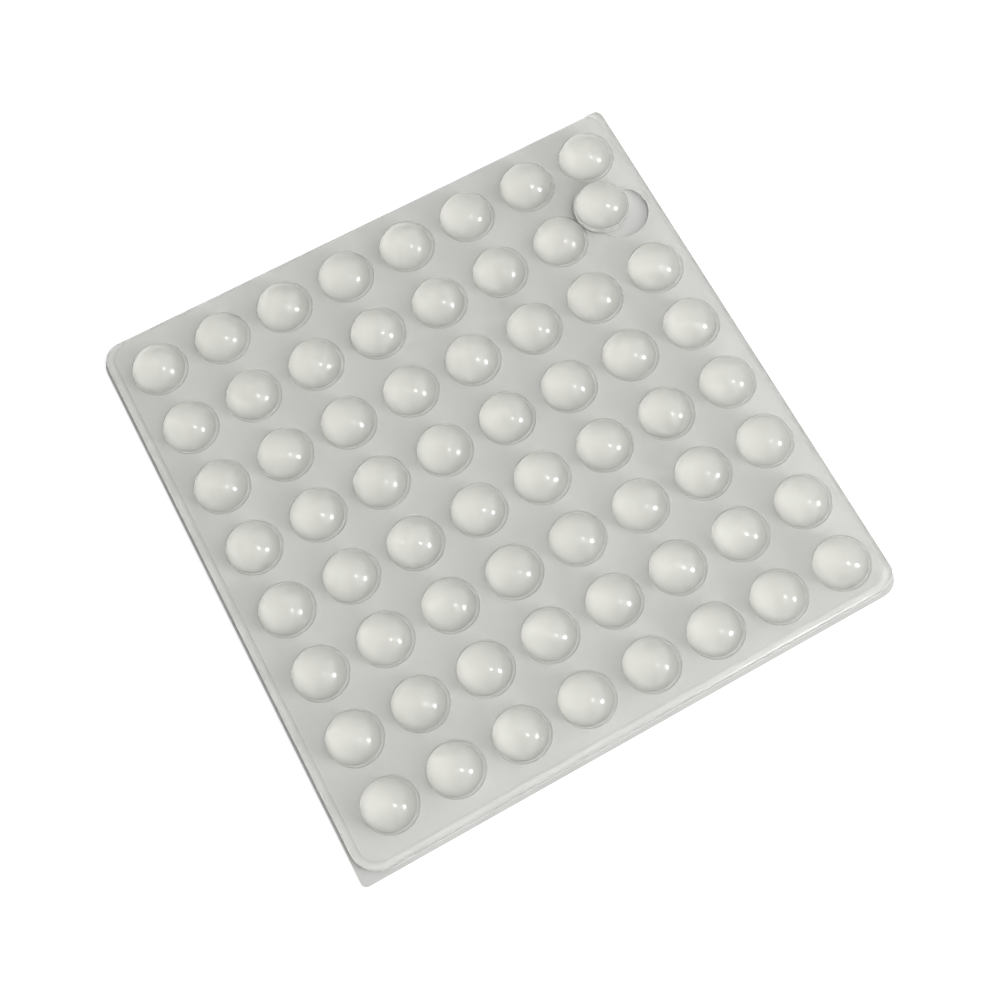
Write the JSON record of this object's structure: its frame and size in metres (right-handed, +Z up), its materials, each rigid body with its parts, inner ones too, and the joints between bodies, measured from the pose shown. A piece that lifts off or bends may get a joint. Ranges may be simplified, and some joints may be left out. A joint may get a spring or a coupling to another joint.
{
  "type": "cabinet door bumper sheet",
  "caption": "Clear half-round self-adhesive cabinet door bumpers cast in one web on a release liner, with a peeled bumper laid back beside its socket.",
  "frame": {"origin": "centre of the bounding box at the underside of the release liner", "axes": "+Z up from the liner to the domes, +X along a row of bumpers, +Y across the rows to the trimmed back edge"},
  "size_m": [0.102, 0.106, 0.0053],
  "materials": {
    "clear_polyurethane": "water-clear cast polyurethane, glossy, soft",
    "adhesive_tissue": "translucent acrylic adhesive on tissue",
    "siliconised_paper": "pale grey white paper with a silicone release coat, satin"
  },
  "bodies": {
    "root": {"release_liner": "siliconised_paper", "adhesive_tape": "adhesive_tissue", "bumper_sheet": "clear_polyurethane", "peeled_bumper_tape": "adhesive_tissue", "peeled_bumper": "clear_polyurethane"}
  },
  "joints": []
}
